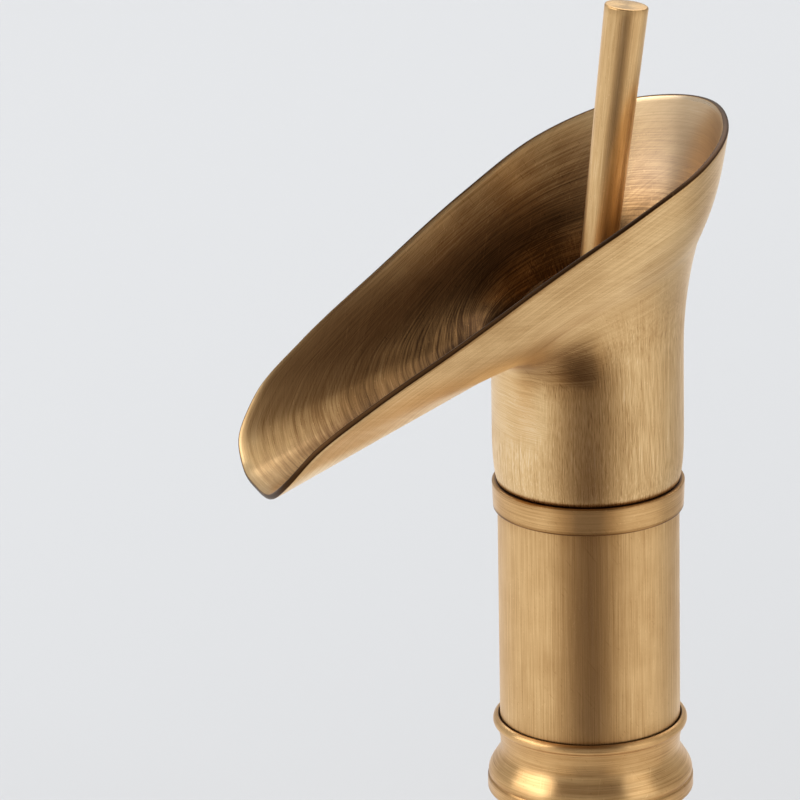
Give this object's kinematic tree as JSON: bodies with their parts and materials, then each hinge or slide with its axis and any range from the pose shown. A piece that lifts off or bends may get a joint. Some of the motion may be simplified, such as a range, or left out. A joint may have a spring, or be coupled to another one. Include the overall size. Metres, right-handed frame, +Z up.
{
  "type": "basin mixer faucet",
  "caption": "Single-lever basin mixer in antique brass: turned foot, round column, collar, and an open waterfall trough with a joystick rod.",
  "frame": {"origin": "on the column's axis at the level of the basin deck, at the middle of the inlet block's underside", "axes": "+Z up along the column, -Y the way the spout points, X across the spout with hot at -X and cold at +X"},
  "size_m": [0.076, 0.1229, 0.2646],
  "materials": {
    "antique_brass": "brushed, patinated",
    "raw_brass": "machined",
    "copper": "drawn copper tube",
    "plated_steel": "zinc plated",
    "rubber": "matte",
    "white_plastic": "moulded",
    "grey_plastic": "moulded",
    "ceramic": null
  },
  "bodies": {
    "body": {"spout_head": "antique_brass", "upper_collar": "antique_brass", "column_sleeve": "antique_brass", "base_flange": "antique_brass", "base_gasket": "rubber", "inlet_block": "raw_brass", "riser_tube_hot": "copper", "riser_tube_cold": "copper", "tie_rod": "plated_steel", "valve_body": "raw_brass", "body_o_ring": "rubber", "cartridge_base": "white_plastic", "seal_hot_port": "rubber", "seal_cold_port": "rubber", "seal_outlet_port": "rubber", "fixed_disc": "ceramic", "cartridge_housing": "white_plastic", "retaining_nut": "raw_brass", "bonnet": "antique_brass", "mounting_stud": "plated_steel", "horseshoe_pad": "rubber", "horseshoe_washer": "plated_steel", "mounting_nut": "raw_brass"},
    "rotor": {"cartridge_rotor": "grey_plastic", "rotor_o_ring": "rubber", "stem_pin": "plated_steel"},
    "lever": {"cartridge_stem": "plated_steel", "lever_rod": "antique_brass", "lever_grub_screw": "plated_steel"},
    "disc": {"moving_disc": "ceramic", "disc_carrier": "grey_plastic"}
  },
  "joints": [
    {"name": "temperature_turn", "type": "hinge", "parent": "body", "child": "rotor", "pos_m": [0, 0, 0.117], "axis": [0, 0, 1], "range_deg": [-45, 45]},
    {"name": "flow_tilt", "type": "hinge", "parent": "rotor", "child": "lever", "pos_m": [0, 0, 0.117], "axis": [1, 0, 0], "range_deg": [-13, 12]},
    {"name": "disc_slide", "type": "slide", "parent": "rotor", "child": "disc", "axis": [0, 1, 0], "range_m": [-0.0017, 0.0017]}
  ],
  "couplings": [
    {"joint": "disc_slide", "follows": "flow_tilt", "m_per_rad": 0.007}
  ]
}
